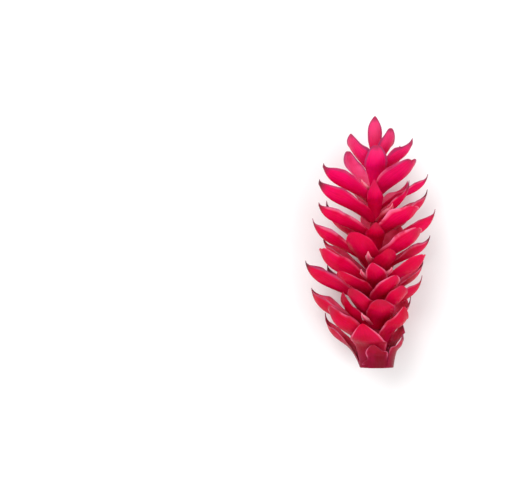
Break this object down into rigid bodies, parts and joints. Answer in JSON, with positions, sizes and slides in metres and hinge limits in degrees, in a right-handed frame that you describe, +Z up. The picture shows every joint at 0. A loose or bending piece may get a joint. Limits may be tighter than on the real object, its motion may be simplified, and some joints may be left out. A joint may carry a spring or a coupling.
{
  "type": "ginger flower",
  "caption": "Cut red ginger flower head lying on its side: a stout stalk set round with waxy, boat-shaped crimson bracts that flick up into points.",
  "frame": {"origin": "centre of the bounding box in X and Y, at the level of the surface that the head lies on", "axes": "+Y along the stalk from the cut end to the tip of the head, +X across the head, +Z up from the surface"},
  "size_m": [0.104, 0.201, 0.0769],
  "materials": {
    "bract_crimson": "satin",
    "bract_red": "satin",
    "bract_pink": "satin",
    "bud": "satin",
    "stalk": "matte"
  },
  "bodies": {
    "root": {"stalk": "stalk", "apical_bud": "bud", "bract_01": "bract_crimson", "bract_02": "bract_crimson", "bract_03": "bract_crimson", "bract_04": "bract_crimson", "bract_05": "bract_crimson", "bract_06": "bract_crimson", "bract_07": "bract_crimson", "bract_08": "bract_crimson", "bract_09": "bract_crimson", "bract_10": "bract_crimson", "bract_11": "bract_crimson", "bract_12": "bract_crimson", "bract_13": "bract_crimson", "bract_14": "bract_crimson", "bract_15": "bract_crimson", "bract_16": "bract_crimson", "bract_17": "bract_crimson", "bract_18": "bract_crimson", "bract_19": "bract_crimson", "bract_20": "bract_crimson", "bract_21": "bract_crimson", "bract_22": "bract_crimson", "bract_23": "bract_crimson", "bract_24": "bract_crimson", "bract_25": "bract_crimson", "bract_26": "bract_crimson", "bract_27": "bract_crimson", "bract_28": "bract_red", "bract_29": "bract_red", "bract_30": "bract_red", "bract_31": "bract_red", "bract_32": "bract_red", "bract_33": "bract_red", "bract_34": "bract_red", "bract_35": "bract_red", "bract_36": "bract_red", "bract_37": "bract_red", "bract_38": "bract_red", "bract_39": "bract_red", "bract_40": "bract_red", "bract_41": "bract_red", "bract_42": "bract_red", "bract_43": "bract_pink", "bract_44": "bract_pink", "bract_45": "bract_pink", "bract_46": "bract_pink", "bract_47": "bract_pink", "bract_48": "bract_pink", "bract_49": "bract_pink", "bract_50": "bract_pink", "bract_51": "bract_pink", "bract_52": "bract_pink", "bract_53": "bract_pink", "bract_54": "bract_pink", "bract_55": "bract_pink", "bract_56": "bract_pink", "bract_57": "bract_pink", "bract_58": "bract_pink"}
  },
  "joints": []
}
